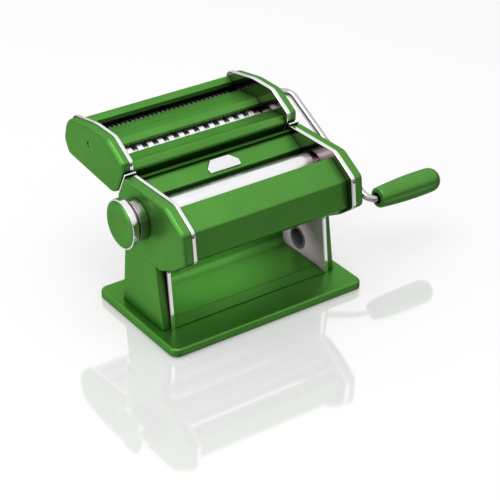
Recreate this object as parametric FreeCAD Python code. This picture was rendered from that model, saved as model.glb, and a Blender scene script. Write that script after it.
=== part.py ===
"""Hand-cranked pasta machine: roller body, lift-off cutter unit, crank and base.

Millimetres. +Z up, +Y to the rear, +X to the crank side. The origin is the middle of the base's footprint,
on the table. The dough enters above the rollers, and the sheet leaves downwards onto the chute.
"""
import math
import os

import FreeCAD
import Part

os.makedirs("parts", exist_ok=True)
V = FreeCAD.Vector

# ---- widths, measured from the middle plane ----
INNER_HALF = 78.4        # inner face of each frame plate
PLATE = 1.2              # frame plate thickness
WEB_OUT = INNER_HALF + PLATE
FLANGE_OUT = 82.1        # outer edge of the frame plates' flange
COVER_IN = 82.15         # side covers start here
COVER_OUT = 91.0         # outer face of a side cover's upper part
LEG_OUT = 89.9           # outer face of a side cover's leg
CUTTER_COVER_OUT = 89.8  # outer face of a cutter cover
WALL = 1.6               # moulded cover wall
SHEET = 0.9              # bent panel thickness
PANEL_HALF = 78.3        # half length of the bent panels

# ---- base ----
BASE_WIDTH = 197.8
BASE_DEPTH = 123.6
BASE_TOP = 8.65
BASE_LOW = 1.5
BASE_WALL = 1.5
BASE_CORNER = 8.0

# ---- smooth rollers ----
ROLLER_R = 12.5
ROLLER_HALF = 75.6
ROLLER_Z = 105.6
REAR_ROLLER_Y = 19.5
NARROWEST = 0.2          # gap between the rollers at the last knob position
TRAVEL = 2.7             # how far the front roller moves over all knob positions
FRONT_ROLLER_Y = REAR_ROLLER_Y - 2 * ROLLER_R - NARROWEST - TRAVEL
JOURNAL_R = 6.0
RUN = 0.05               # radial clearance of shafts in bushes

# ---- knob ----
KNOB_Y = -0.9
KNOB_Z = 104.2
KNOB_R = 21.6
KNOB_STEPS = 10
KNOB_TURN = 324.0        # nine steps of 36 degrees
SCROLL_START = 12.0      # groove radius at the follower with the rollers wide open

# ---- cutters ----
WIDE_R = 10.5
WIDE_FRONT_Y = 49.9
WIDE_REAR_Y = 68.5
WIDE_Z = 120.5
WIDE_PITCH = 10.5
WIDE_DISC = 5.05
WIDE_COUNT = 14
FINE_R = 8.0
FINE_FRONT_Y = 97.4
FINE_REAR_Y = 111.8
FINE_Z = 123.5
FINE_PITCH = 4.6
FINE_DISC = 2.15
FINE_COUNT = 32
CUTTER_JOURNAL_R = 5.0

# ---- drive sockets and crank ----
SOCKET_R = 3.55
SOCKET_BORE = 16.0       # depth of the round part; a slot across its floor takes the crank's tongue
SOCKET_DEPTH = 22.5
SLOT_HALF = 1.35
PLUG_R = 3.5
TONGUE_HALF = 1.25
ROD_R = 3.4
CRANK_PLANE = 132.2      # the arm's middle plane
ARM_LENGTH = 136.4
ARM_ANGLE = 207.9        # degrees from +Y towards +Z
BEND_R = 11.0
GRIP_START = 142.6
GRIP_END = 212.3

# ---- side outlines (y, z, corner radius), anticlockwise seen from the crank side ----
MAIN_OUTLINE = [
    (23.6, 131.0, 4.0),
    (-40.5, 132.0, 14.0),
    (-65.7, 117.2, 7.0),
    (-68.7, 89.8, 7.0),
    (-51.0, 76.2, 20.0),
    (-27.0, 62.8, 5.0),
    (-32.6, BASE_TOP, 0.0),
    (34.2, BASE_TOP, 0.0),
    (28.2, 62.5, 2.5),
    (34.8, 65.5, 2.0),
    (34.8, 109.5, 5.0),
]
UPPER_OUTLINE = [
    (23.6, 131.0, 4.0),
    (-40.5, 132.0, 14.0),
    (-65.7, 117.2, 7.0),
    (-68.7, 89.8, 7.0),
    (-51.0, 76.2, 20.0),
    (-30.0, 66.4, 3.0),
    (34.8, 65.2, 1.0),
    (34.8, 109.5, 5.0),
]
LEG_OUTLINE = [
    (-19.0, 84.0, 0.0),
    (-30.8, BASE_TOP, 0.0),
    (34.2, BASE_TOP, 0.0),
    (25.8, 84.0, 0.0),
]
CUTTER_OUTLINE = [
    (119.5, 148.4, 8.0),
    (80.0, 155.4, 60.0),
    (50.5, 155.4, 16.0),
    (26.4, 141.4, 4.5),
    (26.4, 132.5, 4.0),
    (36.6, 111.6, 6.0),
    (46.0, 106.2, 9.0),
    (119.0, 113.0, 9.0),
    (126.0, 126.5, 12.0),
]
COVER_CORNER = 17.0      # the cutter covers' rear top corner, rounder than the frames'
TONGUE = (37.0, 46.0, 66.1)   # y range and lower end of the cutter frames' tongues


def unit(a, b):
    """Direction from a to b in the plane."""
    length = math.hypot(b[0] - a[0], b[1] - a[1])
    return ((b[0] - a[0]) / length, (b[1] - a[1]) / length)


def meet(p, d, q, e):
    """Where the line through p along d meets the line through q along e."""
    cross = d[0] * e[1] - d[1] * e[0]
    t = ((q[0] - p[0]) * e[1] - (q[1] - p[1]) * e[0]) / cross
    return (p[0] + d[0] * t, p[1] + d[1] * t)


def area(points):
    """Signed area of a closed outline."""
    total = 0.0
    for i, p in enumerate(points):
        q = points[(i + 1) % len(points)]
        total += p[0] * q[1] - q[0] * p[1]
    return total / 2


def inset(points, distance):
    """Moves every side of a closed outline inwards and adjusts its corner radii."""
    sign = 1.0 if area(points) > 0 else -1.0
    count = len(points)
    moved = []
    for i, p in enumerate(points):
        before = points[i - 1]
        after = points[(i + 1) % count]
        d = unit(before, p)
        e = unit(p, after)
        turn = sign * (d[0] * e[1] - d[1] * e[0])
        start = (p[0] - sign * d[1] * distance, p[1] + sign * d[0] * distance)
        end = (p[0] - sign * e[1] * distance, p[1] + sign * e[0] * distance)
        corner = meet(start, d, end, e)
        radius = p[2]
        if radius > 0:
            radius = radius - distance if turn > 0 else radius + distance
        moved.append((corner[0], corner[1], max(radius, 0.0)))
    return moved


def bent(path, thickness, side=1.0):
    """Closed outline of a sheet that follows an open path; side picks the face it grows from."""
    count = len(path)
    back = []
    for i, p in enumerate(path):
        d = unit(path[i - 1], p) if i > 0 else unit(p, path[1])
        e = unit(p, path[i + 1]) if i < count - 1 else d
        step = side * thickness
        start = (p[0] - d[1] * step, p[1] + d[0] * step)
        if i in (0, count - 1):
            back.append((start[0], start[1], 0.0))
            continue
        end = (p[0] - e[1] * step, p[1] + e[0] * step)
        corner = meet(start, d, end, e)
        turn = side * (d[0] * e[1] - d[1] * e[0])
        radius = p[2] - thickness if turn > 0 else p[2] + thickness
        back.append((corner[0], corner[1], max(radius, 0.05)))
    return list(path) + back[::-1]


def wire(points, place):
    """Closed wire with rounded corners; place turns (a, b) into a point in space."""
    count = len(points)
    corners = []
    for i, p in enumerate(points):
        if p[2] <= 0:
            corners.append((p, None, p))
            continue
        u = unit(p, points[i - 1])
        w = unit(p, points[(i + 1) % count])
        half = math.acos(max(-1.0, min(1.0, u[0] * w[0] + u[1] * w[1]))) / 2
        reach = p[2] / math.tan(half)
        middle = unit((0, 0), (u[0] + w[0], u[1] + w[1]))
        away = p[2] / math.sin(half) - p[2]
        first = (p[0] + u[0] * reach, p[1] + u[1] * reach)
        last = (p[0] + w[0] * reach, p[1] + w[1] * reach)
        corners.append((first, (p[0] + middle[0] * away, p[1] + middle[1] * away), last))
    edges = []
    for i, (first, mid, last) in enumerate(corners):
        if mid is not None:
            edges.append(Part.Arc(place(*first[:2]), place(*mid), place(*last[:2])).toShape())
        following = corners[(i + 1) % count][0]
        if math.hypot(following[0] - last[0], following[1] - last[1]) > 1e-6:
            edges.append(Part.makeLine(place(*last[:2]), place(*following[:2])))
    return Part.Wire(edges)


def prism_x(points, x0, x1):
    """Solid between x0 and x1 with a (y, z) outline."""
    face = Part.Face(wire(points, lambda a, b: V(x0, a, b)))
    return face.extrude(V(x1 - x0, 0, 0))


def prism_z(points, z0, z1):
    """Solid between z0 and z1 with an (x, y) outline."""
    face = Part.Face(wire(points, lambda a, b: V(a, b, z0)))
    return face.extrude(V(0, 0, z1 - z0))


def box(x0, x1, y0, y1, z0, z1):
    return Part.makeBox(x1 - x0, y1 - y0, z1 - z0, V(x0, y0, z0))


def round_x(y, z, radius, x0, x1):
    """Cylinder along X."""
    return Part.makeCylinder(radius, x1 - x0, V(x0, y, z), V(1, 0, 0))


def round_z(x, y, radius, z0, z1):
    return Part.makeCylinder(radius, z1 - z0, V(x, y, z0))


def turned(y, z, profile):
    """Solid turned about the X direction through (y, z); profile lists (x, radius)."""
    points = [V(profile[0][0], y, z)]
    points += [V(x, y, z + r) for x, r in profile if r > 0]
    points += [V(profile[-1][0], y, z), V(profile[0][0], y, z)]
    face = Part.Face(Part.makePolygon(points))
    return face.revolve(V(0, y, z), V(1, 0, 0), 360)


def mirrored(shape):
    return shape.mirror(V(0, 0, 0), V(1, 0, 0))


def both_sides(shape):
    """The piece and its mirror image on the other side."""
    return Part.makeCompound([shape, mirrored(shape)])


def cut(shape, *tools):
    for tool in tools:
        shape = shape.cut(tool)
    return shape


def fuse(shape, *others):
    return shape.multiFuse(list(others)).removeSplitter()


def edges_at_x(shape, x):
    """Edges that lie in the plane at x."""
    found = []
    for edge in shape.Edges:
        if abs(edge.BoundBox.XMin - x) < 1e-4 and abs(edge.BoundBox.XMax - x) < 1e-4:
            found.append(edge)
    return found


def export(name, shape):
    solids = shape.Solids
    shape = solids[0] if len(solids) == 1 else Part.makeCompound(solids)
    shape.exportStep("parts/" + name + ".step")
    print(name, len(solids), "solid(s)", round(sum(s.Volume for s in solids), 1), "mm3")


ADDENDUM = 0.85          # stub teeth, in modules


def gear(y, z, teeth, module, x0, x1, bore, first, slack, bottom):
    """Spur gear with involute flanks; first is the angle of one tooth's middle, in radians."""
    pressure = math.radians(25)
    pitch = teeth * module / 2
    base = pitch * math.cos(pressure)
    tip = pitch + ADDENDUM * module
    root = pitch - module - bottom
    lean = math.tan(pressure) - pressure

    def half_angle(radius):
        if radius <= base:
            return (math.pi * module / 2 - slack) / (2 * pitch) + lean
        turn = math.acos(base / radius)
        return (math.pi * module / 2 - slack) / (2 * pitch) + lean - (math.tan(turn) - turn)

    def at(radius, angle):
        return V(x0, y + radius * math.cos(angle), z + radius * math.sin(angle))

    low = max(base, root)
    middle = (low + tip) / 2
    edges = []
    for k in range(teeth):
        centre = first + 2 * math.pi * k / teeth
        after = centre + 2 * math.pi / teeth
        foot = half_angle(low)
        waist = half_angle(middle)
        crown = half_angle(tip)
        if low > root:
            edges.append(Part.makeLine(at(root, centre - foot), at(low, centre - foot)))
        edges.append(Part.Arc(at(low, centre - foot), at(middle, centre - waist), at(tip, centre - crown)).toShape())
        edges.append(Part.Arc(at(tip, centre - crown), at(tip, centre), at(tip, centre + crown)).toShape())
        edges.append(Part.Arc(at(tip, centre + crown), at(middle, centre + waist), at(low, centre + foot)).toShape())
        if low > root:
            edges.append(Part.makeLine(at(low, centre + foot), at(root, centre + foot)))
        gap = (centre + foot + after - foot) / 2
        edges.append(Part.Arc(at(root, centre + foot), at(root, gap), at(root, after - foot)).toShape())
    body = Part.Face(Part.Wire(edges)).extrude(V(x1 - x0, 0, 0))
    return body.cut(round_x(y, z, bore, x0 - 1, x1 + 1))


def socket_hole(y, z, x_end):
    """Blind round drive hole, open at x_end, with a slot across its floor."""
    hole = round_x(y, z, SOCKET_R, x_end - SOCKET_BORE, x_end + 1)
    slot = box(x_end - SOCKET_DEPTH, x_end - SOCKET_BORE + 1, y - SLOT_HALF, y + SLOT_HALF, z - 3.2, z + 3.2)
    return hole.fuse(slot)


# ---------------------------------------------------------------- base
def rectangle(half_x, half_y, radius):
    return [
        (half_x, half_y, radius),
        (-half_x, half_y, radius),
        (-half_x, -half_y, radius),
        (half_x, -half_y, radius),
    ]


base = prism_z(rectangle(BASE_WIDTH / 2, BASE_DEPTH / 2, BASE_CORNER), BASE_LOW, BASE_TOP)
top_edges = [e for e in base.Edges if e.BoundBox.ZMin > BASE_TOP - 1e-4]
base = base.makeFillet(2.6, top_edges)
hollow = prism_z(
    rectangle(BASE_WIDTH / 2 - BASE_WALL, BASE_DEPTH / 2 - BASE_WALL, BASE_CORNER - BASE_WALL),
    BASE_LOW - 1,
    BASE_TOP - BASE_WALL,
)
base = base.cut(hollow)
FOOT_SCREWS = [(84.0, -20.0), (84.0, 25.0), (-84.0, -20.0), (-84.0, 25.0)]
for sx, sy in FOOT_SCREWS:
    base = base.cut(round_z(sx, sy, 2.0, 0, BASE_TOP + 1))
export("base_plate", base)

feet = []
for side_x in (-1, 1):
    for side_y in (-1, 1):
        cx = side_x * (BASE_WIDTH / 2 - 15.5)
        cy = side_y * (BASE_DEPTH / 2 - 15.5)
        pad = prism_z(rectangle(13.5, 13.5, 6.0), 0, BASE_TOP - BASE_WALL)
        pad.translate(V(cx, cy, 0))
        feet.append(pad)
feet.append(prism_z(rectangle(13.5, 13.5, 6.0), 0, BASE_TOP - BASE_WALL))
export("rubber_feet", Part.makeCompound(feet))

foot_bar = box(WEB_OUT, 88.0, -26.0, 30.5, BASE_TOP, BASE_TOP + 4.0)
for sy in (-20.0, 25.0):
    foot_bar = foot_bar.cut(round_z(84.0, sy, 2.0, 0, BASE_TOP + 5))
export("foot_bars", both_sides(foot_bar))

screws = []
for sx, sy in FOOT_SCREWS:
    head = round_z(sx, sy, 3.6, BASE_TOP - BASE_WALL - 2.4, BASE_TOP - BASE_WALL)
    slot = box(sx - 4, sx + 4, sy - 0.5, sy + 0.5, BASE_TOP - BASE_WALL - 2.5, BASE_TOP - BASE_WALL - 1.4)
    shank = round_z(sx, sy, 2.0, BASE_TOP - BASE_WALL - 0.5, BASE_TOP + 3.5)
    screws.append(fuse(head, shank).cut(slot))
export("base_screws", Part.makeCompound(screws))

# ---------------------------------------------------------------- roller body frame
TIE_RODS = [(-53.0, 97.0), (-38.0, 79.5), (25.5, 72.0)]
ROD_BODY_R = 3.5
CLAMP_Y = 8.3
CLAMP_Z = 25.8
CLAMP_R = 8.6
CLAMP_WALL_R = 9.6
BLOCK_HALF = 8.5
BUSH_R = 7.6

frame = prism_x(MAIN_OUTLINE, INNER_HALF, FLANGE_OUT)
frame = frame.makeFillet(0.8, edges_at_x(frame, INNER_HALF))
frame = frame.cut(prism_x(inset(MAIN_OUTLINE, PLATE), WEB_OUT, FLANGE_OUT + 1))
# the flange is relieved at the nose bend
frame = frame.cut(box(WEB_OUT + 0.2, FLANGE_OUT + 1, -72.0, -62.5, 112.4, 113.8))
window = box(
    INNER_HALF - 1,
    WEB_OUT + 1,
    FRONT_ROLLER_Y - BLOCK_HALF - 0.15,
    FRONT_ROLLER_Y + BLOCK_HALF + TRAVEL + 0.15,
    ROLLER_Z - BLOCK_HALF - 0.05,
    ROLLER_Z + BLOCK_HALF + 0.05,
)
frame = cut(
    frame,
    window,
    round_x(REAR_ROLLER_Y, ROLLER_Z, BUSH_R, INNER_HALF - 1, WEB_OUT + 1),
    round_x(CLAMP_Y, CLAMP_Z, CLAMP_WALL_R, INNER_HALF - 1, WEB_OUT + 1),
)
for ry, rz in TIE_RODS:
    frame = frame.cut(round_x(ry, rz, 2.0, INNER_HALF - 1, WEB_OUT + 1))
# the bottom flange is left out where the foot bar stands
frame = frame.cut(box(WEB_OUT, FLANGE_OUT + 1, -26.2, 30.7, BASE_TOP - 1, BASE_TOP + PLATE + 0.3))
export("frame_plate_right", frame)
export("frame_plate_left", mirrored(frame))


def side_cover():
    """One-piece moulded cover: rounded upper part over a plain leg, hollow inside."""
    upper = prism_x(inset(UPPER_OUTLINE, 0.5), COVER_IN, COVER_OUT)
    upper = upper.makeFillet(3.0, edges_at_x(upper, COVER_OUT))
    leg = prism_x(inset(LEG_OUTLINE, 0.5), COVER_IN, LEG_OUT)
    corners = []
    for edge in edges_at_x(leg, LEG_OUT):
        spot = edge.BoundBox
        if spot.ZMax - spot.ZMin > 15:
            corners.append(edge)
    leg = leg.makeFillet(1.6, corners)
    below_base = box(COVER_IN - 1, LEG_OUT + 1, -40, 40, BASE_TOP - 2, BASE_TOP)
    body = upper.fuse(leg).cut(below_base).removeSplitter()
    room_up = prism_x(inset(UPPER_OUTLINE, 0.5 + WALL), COVER_IN - 1, COVER_OUT - WALL)
    room_leg = prism_x(inset(LEG_OUTLINE, 0.5 + WALL), COVER_IN - 1, LEG_OUT - WALL)
    under_leg = box(COVER_IN - 1, LEG_OUT - WALL, -28.0, 31.0, BASE_TOP - 1, BASE_TOP + 4)
    return cut(body, room_up, room_leg, under_leg)


cover = side_cover()
GEAR_IN = 83.4
GEAR_OUT = 88.6
right_cover = cut(
    cover,
    round_x(REAR_ROLLER_Y, ROLLER_Z, JOURNAL_R + 1.0, COVER_OUT - 3, COVER_OUT + 1),
    round_x(REAR_ROLLER_Y, ROLLER_Z, 15.5, GEAR_IN - 0.4, GEAR_OUT + 0.4),
)
export("side_cover_right", right_cover)
BOSS_H = 1.0
BUSH_OUT_R = 8.0
left_cover = mirrored(cover)
flare = Part.makeCone(25.5, 18.8, BOSS_H, V(-COVER_OUT, KNOB_Y, KNOB_Z), V(-1, 0, 0))
left_cover = left_cover.fuse(flare).removeSplitter()
left_cover = left_cover.cut(round_x(KNOB_Y, KNOB_Z, BUSH_OUT_R, -COVER_OUT - 4, -COVER_OUT + 4))
export("side_cover_left", left_cover)

rods = []
rod_screws = []
for ry, rz in TIE_RODS:
    rod = round_x(ry, rz, ROD_BODY_R, -INNER_HALF, INNER_HALF)
    for side in (1, -1):
        hole = round_x(ry, rz, 2.0, INNER_HALF - 9, INNER_HALF + 1)
        screw = round_x(ry, rz, 2.0, INNER_HALF - 8, WEB_OUT)
        head = turned(ry, rz, [(WEB_OUT, 4.0), (WEB_OUT + 1.6, 4.0), (WEB_OUT + 2.4, 3.0)])
        nick = box(WEB_OUT + 1.4, WEB_OUT + 3, ry - 0.5, ry + 0.5, rz - 5, rz + 5)
        whole = fuse(screw, head).cut(nick)
        rod = rod.cut(hole if side > 0 else mirrored(hole))
        rod_screws.append(whole if side > 0 else mirrored(whole))
    rods.append(rod)
export("tie_rods", Part.makeCompound(rods))
export("tie_rod_screws", Part.makeCompound(rod_screws))

sleeve = turned(
    CLAMP_Y,
    CLAMP_Z,
    [(INNER_HALF - 0.6, CLAMP_WALL_R + 1.0), (INNER_HALF, CLAMP_WALL_R + 1.0), (INNER_HALF, CLAMP_WALL_R),
     (LEG_OUT - WALL - 0.1, CLAMP_WALL_R)],
)
sleeve = sleeve.cut(round_x(CLAMP_Y, CLAMP_Z, CLAMP_R, 70, 95))
export("clamp_sleeves", both_sides(sleeve))

bush = turned(
    REAR_ROLLER_Y,
    ROLLER_Z,
    [(INNER_HALF - 0.05, BUSH_R), (WEB_OUT, BUSH_R), (WEB_OUT, BUSH_R + 1.2), (WEB_OUT + 1.6, BUSH_R + 1.2)],
)
bush = bush.cut(round_x(REAR_ROLLER_Y, ROLLER_Z, JOURNAL_R + RUN, 70, 95))
export("rear_bushes", both_sides(bush))

# ---------------------------------------------------------------- bent panels of the roller body
feed_path = [(6.7, 111.9, 0.0), (6.5, 116.4, 0.9), (24.2, 125.2, 0.0)]
export("feed_panel", prism_x(bent(feed_path, SHEET, -1.0), -PANEL_HALF, PANEL_HALF))

FEED_DIR = unit(feed_path[1], feed_path[2])
BADGE_OUTLINE = [
    (15.2, -6.6, 1.0),
    (16.2, -0.8, 2.5),
    (9.6, 6.6, 2.0),
    (-9.6, 6.6, 2.0),
    (-16.2, -0.8, 2.5),
    (-15.2, -6.6, 1.0),
]
badge = prism_z(BADGE_OUTLINE, 0.0, 1.2)
badge_top = [e for e in badge.Edges if e.BoundBox.ZMin > 1.1999]
badge = badge.makeChamfer(0.4, badge_top)
badge.rotate(V(0, 0, 0), V(1, 0, 0), math.degrees(math.atan2(FEED_DIR[1], FEED_DIR[0])))
badge.translate(V(2.0, feed_path[1][0] + 9.0 * FEED_DIR[0], feed_path[1][1] + 9.0 * FEED_DIR[1]))
export("feed_badge", badge)

front_path = [
    (-33.9, 122.9, 0.0),
    (-36.9, 125.6, 1.2),
    (-58.9, 112.3, 3.0),
    (-62.2, 88.4, 3.5),
    (-53.5, 81.2, 0.0),
]
export("front_panel", prism_x(bent(front_path, SHEET, 1.0), -PANEL_HALF, PANEL_HALF))

rear_path = [
    (33.8, BASE_TOP + 0.15, 0.0),
    (27.8, 62.8, 2.5),
    (34.4, 65.8, 2.0),
    (34.4, 109.3, 4.0),
    (25.4, 126.9, 1.6),
    (21.0, 127.6, 0.0),
]
export("rear_panel", prism_x(bent(rear_path, SHEET, 1.0), -PANEL_HALF, PANEL_HALF))

chute_path = [(-32.4, 9.65, 0.0), (-20.3, 11.2, 1.5), (31.7, 11.2, 6.0), (26.5, 58.0, 0.0)]
chute = prism_x(bent(chute_path, SHEET, -1.0), -PANEL_HALF, PANEL_HALF)
export("chute", chute)

# ---------------------------------------------------------------- rear roller and its scraper
roller_ends = [(-ROLLER_HALF, ROLLER_R - 0.5), (-ROLLER_HALF + 0.5, ROLLER_R),
               (ROLLER_HALF - 0.5, ROLLER_R), (ROLLER_HALF, ROLLER_R - 0.5)]
rear_profile = [(-81.5, JOURNAL_R), (-ROLLER_HALF, JOURNAL_R)] + roller_ends
rear_profile += [(ROLLER_HALF, JOURNAL_R), (COVER_OUT - 0.2, JOURNAL_R)]
rear_roller = turned(REAR_ROLLER_Y, ROLLER_Z, rear_profile)
rear_roller = rear_roller.cut(socket_hole(REAR_ROLLER_Y, ROLLER_Z, COVER_OUT - 0.2))
export("rear_roller", rear_roller)

MAIN_TEETH = 12
MAIN_MODULE = (2 * ROLLER_R + NARROWEST) / MAIN_TEETH
rear_gear = gear(REAR_ROLLER_Y, ROLLER_Z, MAIN_TEETH, MAIN_MODULE, GEAR_IN, GEAR_OUT, JOURNAL_R,
                 math.pi + math.pi / MAIN_TEETH, 0.22, 0.45)
export("rear_gear", rear_gear)


def blade(tip_y, tip_z, foot_y, foot_z, half, thickness=1.0):
    """Flat scraper blade from its foot to its tip, across the machine."""
    d = unit((foot_y, foot_z), (tip_y, tip_z))
    n = (-d[1] * thickness / 2, d[0] * thickness / 2)
    return prism_x(
        [
            (foot_y + n[0], foot_z + n[1], 0.0),
            (foot_y - n[0], foot_z - n[1], 0.0),
            (tip_y - n[0] - 0.6 * d[0], tip_z - n[1] - 0.6 * d[1], 0.0),
            (tip_y + n[0], tip_z + n[1], 0.0),
        ],
        -half,
        half,
    )


SCRAPE = math.radians(70)
REAR_TIP = (
    REAR_ROLLER_Y + (ROLLER_R + 0.9) * math.cos(SCRAPE),
    ROLLER_Z - (ROLLER_R + 0.9) * math.sin(SCRAPE),
)
rear_scraper = blade(REAR_TIP[0], REAR_TIP[1], 30.2, 86.0, PANEL_HALF)
rear_scraper = fuse(rear_scraper, box(-PANEL_HALF, PANEL_HALF, 28.2, 32.6, 82.0, 87.2))
export("scraper_rear", rear_scraper)

# ---------------------------------------------------------------- front roller carriage
ARM_IN = 75.9
ARM_OUT = 78.3
BAR_Y = -21.5
BAR_Z = 86.0


def bearing_block():
    """Block that slides in the frame plate's window, with an inner arm down to the carriage bar."""
    arm_outline = [
        (FRONT_ROLLER_Y + 10.0, ROLLER_Z + 9.8, 5.0),
        (FRONT_ROLLER_Y - 10.0, ROLLER_Z + 9.8, 5.0),
        (FRONT_ROLLER_Y - 17.5, BAR_Z - 4.4, 3.0),
        (FRONT_ROLLER_Y - 8.0, BAR_Z - 4.4, 3.0),
        (FRONT_ROLLER_Y + 10.0, ROLLER_Z - 9.8, 5.0),
    ]
    arm = prism_x(arm_outline, ARM_IN, ARM_OUT)
    slider = box(ARM_OUT - 0.1, 79.7, FRONT_ROLLER_Y - BLOCK_HALF, FRONT_ROLLER_Y + BLOCK_HALF,
                 ROLLER_Z - BLOCK_HALF, ROLLER_Z + BLOCK_HALF)
    keeper = box(79.7 - 0.05, 82.4, FRONT_ROLLER_Y - 10.2, FRONT_ROLLER_Y + 10.2, ROLLER_Z - 10.2, ROLLER_Z + 10.2)
    return fuse(arm, slider, keeper)


block = bearing_block()
bore = round_x(FRONT_ROLLER_Y, ROLLER_Z, JOURNAL_R + RUN, 70, 90)
right_block = block.cut(bore)
bar_holes = round_x(BAR_Y, BAR_Z, 2.0, ARM_IN - 1, ARM_OUT + 1)
right_block = right_block.cut(bar_holes)
export("bearing_block_right", right_block)
blind = round_x(FRONT_ROLLER_Y, ROLLER_Z, JOURNAL_R + RUN, 70, 80.4)
PIN_R = 1.45
PIN_Y = KNOB_Y - SCROLL_START
pin_seat = round_x(PIN_Y, KNOB_Z, PIN_R, 81.0, 83)
left_block = mirrored(cut(block, blind, bar_holes, pin_seat))
export("bearing_block_left", left_block)
follower = round_x(PIN_Y, KNOB_Z, PIN_R, -86.2, -81.0)
export("follower_pin", follower)

bar_profile = [(-ARM_OUT, 2.0), (-ARM_IN, 2.0), (-ARM_IN, 3.6), (ARM_IN, 3.6), (ARM_IN, 2.0), (ARM_OUT, 2.0)]
bar = turned(BAR_Y, BAR_Z, bar_profile)
flat_cut = box(-ARM_IN + 0.5, ARM_IN - 0.5, BAR_Y + 1.9, BAR_Y + 9, BAR_Z - 9, BAR_Z + 9)
bar = bar.cut(flat_cut)
export("carriage_bar", bar)

FRONT_TIP = (
    FRONT_ROLLER_Y - (ROLLER_R + 0.9) * math.cos(SCRAPE),
    ROLLER_Z - (ROLLER_R + 0.9) * math.sin(SCRAPE),
)
clip = box(-ARM_IN + 0.6, ARM_IN - 0.6, BAR_Y + 1.9, BAR_Y + 3.9, BAR_Z - 3.0, BAR_Z + 3.0)
front_blade = blade(FRONT_TIP[0], FRONT_TIP[1], BAR_Y + 3.2, BAR_Z - 0.5, ARM_IN - 0.6)
export("scraper_front", fuse(front_blade, clip))

front_profile = [(-80.2, JOURNAL_R), (-ROLLER_HALF, JOURNAL_R)] + roller_ends
front_profile += [(ROLLER_HALF, JOURNAL_R), (GEAR_OUT + 0.3, JOURNAL_R)]
export("front_roller", turned(FRONT_ROLLER_Y, ROLLER_Z, front_profile))
front_gear = gear(FRONT_ROLLER_Y, ROLLER_Z, MAIN_TEETH, MAIN_MODULE, GEAR_IN, GEAR_OUT, JOURNAL_R, 0.0, 0.22, 0.45)
export("front_gear", front_gear)

# ---------------------------------------------------------------- knob and scroll cam
RING_BACK = COVER_OUT + BOSS_H
RING_FRONT = 100.7
NECK_FRONT = 103.7
RIM_BACK = 103.9
RIM_FRONT = 109.8
SPINDLE_R = 5.0
CAM_IN = 83.6
CAM_OUT = 87.6
PULL = 4.0


def ring_x(y, z, outer, inner, x0, x1):
    return round_x(y, z, outer, x0, x1).cut(round_x(y, z, inner, x0 - 1, x1 + 1))


ring = fuse(
    ring_x(KNOB_Y, KNOB_Z, 18.1, 8.0, -RING_BACK - 1.4, -RING_BACK),
    ring_x(KNOB_Y, KNOB_Z, 18.1, 11.5, -RING_FRONT, -RING_BACK - 1.3),
    ring_x(KNOB_Y, KNOB_Z, 16.7, 14.9, -NECK_FRONT, -RING_FRONT + 0.1),
)
rounding = [e for e in edges_at_x(ring, -RING_FRONT) + edges_at_x(ring, -RING_BACK)
            if abs(e.Length - 2 * math.pi * 18.1) < 0.5]
ring = ring.makeFillet(0.6, rounding)
for k in range(KNOB_STEPS):
    angle = math.radians(36 * k + 18)
    cy = KNOB_Y + 13.2 * math.cos(angle)
    cz = KNOB_Z + 13.2 * math.sin(angle)
    ring = ring.cut(round_x(cy, cz, 1.3, -RING_FRONT - 0.5, -RING_FRONT + 2.0))
    mark = Part.makeCylinder(1.0, 1.0, V(-102.2, KNOB_Y, KNOB_Z) + V(0, math.cos(angle), math.sin(angle)) * 15.9,
                             V(0, math.cos(angle), math.sin(angle)))
    ring = ring.cut(mark)
export("index_ring", ring)

BUSH_FLANGE = COVER_OUT - WALL
knob_bush = turned(
    KNOB_Y,
    KNOB_Z,
    [(-95.0, BUSH_OUT_R), (-BUSH_FLANGE, BUSH_OUT_R), (-BUSH_FLANGE, 11.0), (-BUSH_FLANGE + 1.2, 11.0)],
)
knob_bush = knob_bush.cut(round_x(KNOB_Y, KNOB_Z, SPINDLE_R + RUN, -110, -80))
export("knob_bush", knob_bush)

HEAD_BACK = 105.3
HEAD_FRONT = 106.7
spindle = turned(
    KNOB_Y,
    KNOB_Z,
    [(-HEAD_FRONT, 7.3), (-HEAD_BACK, 7.3), (-HEAD_BACK, SPINDLE_R), (-CAM_IN, SPINDLE_R)],
)
export("knob_spindle", spindle)


def scroll(offset):
    """Points along the scroll groove's edge, every 36 degrees and half way between."""
    points = []
    for k in range(19):
        turn = math.radians(18 * k)
        angle = math.pi - turn
        radius = SCROLL_START - TRAVEL * turn / math.radians(KNOB_TURN) + offset
        points.append(V(-CAM_IN, KNOB_Y + radius * math.cos(angle), KNOB_Z + radius * math.sin(angle)))
    return points


HALF_GROOVE = PIN_R + 0.35
outer_edge = scroll(HALF_GROOVE)
inner_edge = scroll(-HALF_GROOVE)
groove_edges = []
for k in range(0, 18, 2):
    groove_edges.append(Part.Arc(outer_edge[k], outer_edge[k + 1], outer_edge[k + 2]).toShape())
    groove_edges.append(Part.Arc(inner_edge[k], inner_edge[k + 1], inner_edge[k + 2]).toShape())
for first_k in (0, 18):
    radius = SCROLL_START - (0.0 if first_k == 0 else TRAVEL)
    overrun = HALF_GROOVE / radius
    angle = math.pi - (-overrun if first_k == 0 else math.radians(KNOB_TURN) + overrun)
    cap_mid = V(-CAM_IN, KNOB_Y + radius * math.cos(angle), KNOB_Z + radius * math.sin(angle))
    groove_edges.append(Part.Arc(outer_edge[first_k], cap_mid, inner_edge[first_k]).toShape())
groove_wire = Part.Wire(Part.__sortEdges__(groove_edges))
groove = Part.Face(groove_wire).extrude(V(-3.2, 0, 0))
cam = ring_x(KNOB_Y, KNOB_Z, 15.6, SPINDLE_R, -CAM_OUT, -CAM_IN).cut(groove)
export("scroll_cam", cam)

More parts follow.
